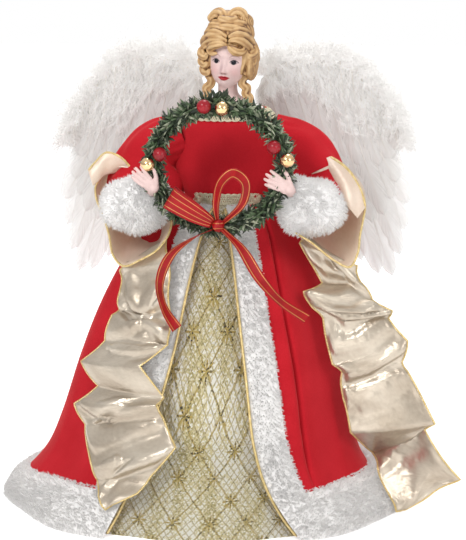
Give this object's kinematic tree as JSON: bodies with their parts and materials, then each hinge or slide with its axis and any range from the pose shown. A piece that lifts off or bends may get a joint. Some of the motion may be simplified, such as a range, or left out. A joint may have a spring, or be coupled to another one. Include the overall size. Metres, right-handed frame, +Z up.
{
  "type": "angel tree topper",
  "caption": "Angel doll in a velvet coat with a wreath and hinged feather wings, on a hollow cone that slips over a tree's tip.",
  "frame": {"origin": "bottom centre of the bounding box, on the floor under the cone", "axes": "+Z up, the face looks along -Y, +X to the viewer's right"},
  "size_m": [0.3748, 0.2907, 0.4068],
  "materials": {
    "face_porcelain": "glazed",
    "hair_paint": "satin",
    "velvet_red": "velvet",
    "fur_white": "fur",
    "brocade_gold": "metallic brocade",
    "satin_champagne": "satin",
    "lace_gold": "metallic lace",
    "organza_red": "sheer ribbon",
    "feather_white": "feather",
    "felt_white": "felt",
    "garland_green": "matte",
    "berry_red": "gloss",
    "ornament_gold": "mirror gold",
    "wire_steel": "bare",
    "cardboard": "uncoated",
    "foam_white": "foam",
    "wood_plain": "bare",
    "plastic_white": "moulded"
  },
  "bodies": {
    "body": {"tree_cone": "cardboard", "body_form": "foam_white", "neck_dowel": "wood_plain", "head_bust": "face_porcelain", "hair": "hair_paint", "bodice": "velvet_red", "waist_lace": "lace_gold", "neckline_lace": "lace_gold", "brocade_front": "brocade_gold", "brocade_right": "brocade_gold", "brocade_back": "brocade_gold", "brocade_left": "brocade_gold", "coat_left": "velvet_red", "hem_fur_left": "fur_white", "coat_right": "velvet_red", "hem_fur_right": "fur_white", "coat_back": "velvet_red", "hem_fur_back": "fur_white", "front_fur_left": "fur_white", "front_fur_right": "fur_white", "wreath_garland": "garland_green", "berry_top": "berry_red", "ornament_top": "ornament_gold", "berry_left": "berry_red", "ornament_left": "ornament_gold", "berry_right": "berry_red", "ornament_right": "ornament_gold", "bow_knot": "organza_red", "bow_loop_left": "organza_red", "bow_loop_right": "organza_red", "bow_tail_left": "organza_red", "bow_tail_right": "organza_red", "arm_wire_left": "wire_steel", "arm_padding_left": "felt_white", "sleeve_left": "velvet_red", "cuff_left": "fur_white", "hand_left": "face_porcelain", "satin_bell_left": "satin_champagne", "cascade_left": "satin_champagne", "arm_wire_right": "wire_steel", "arm_padding_right": "felt_white", "sleeve_right": "velvet_red", "cuff_right": "fur_white", "hand_right": "face_porcelain", "satin_bell_right": "satin_champagne", "cascade_right": "satin_champagne", "wing_bracket": "plastic_white"},
    "wing_left": {"wing_feathers_left": "feather_white", "wing_coverts_left": "feather_white", "wing_fluff_left": "feather_white", "wing_backing_left": "felt_white", "wing_wire_left": "wire_steel"},
    "wing_right": {"wing_feathers_right": "feather_white", "wing_coverts_right": "feather_white", "wing_fluff_right": "feather_white", "wing_backing_right": "felt_white", "wing_wire_right": "wire_steel"}
  },
  "joints": [
    {"name": "wing_left_fold", "type": "hinge", "parent": "body", "child": "wing_left", "pos_m": [-0.014, 0.0357, 0.3042], "axis": [0, 0, -1], "range_deg": [0, 65]},
    {"name": "wing_right_fold", "type": "hinge", "parent": "body", "child": "wing_right", "pos_m": [0.014, 0.0357, 0.3042], "axis": [0, 0, 1], "range_deg": [0, 65]}
  ]
}
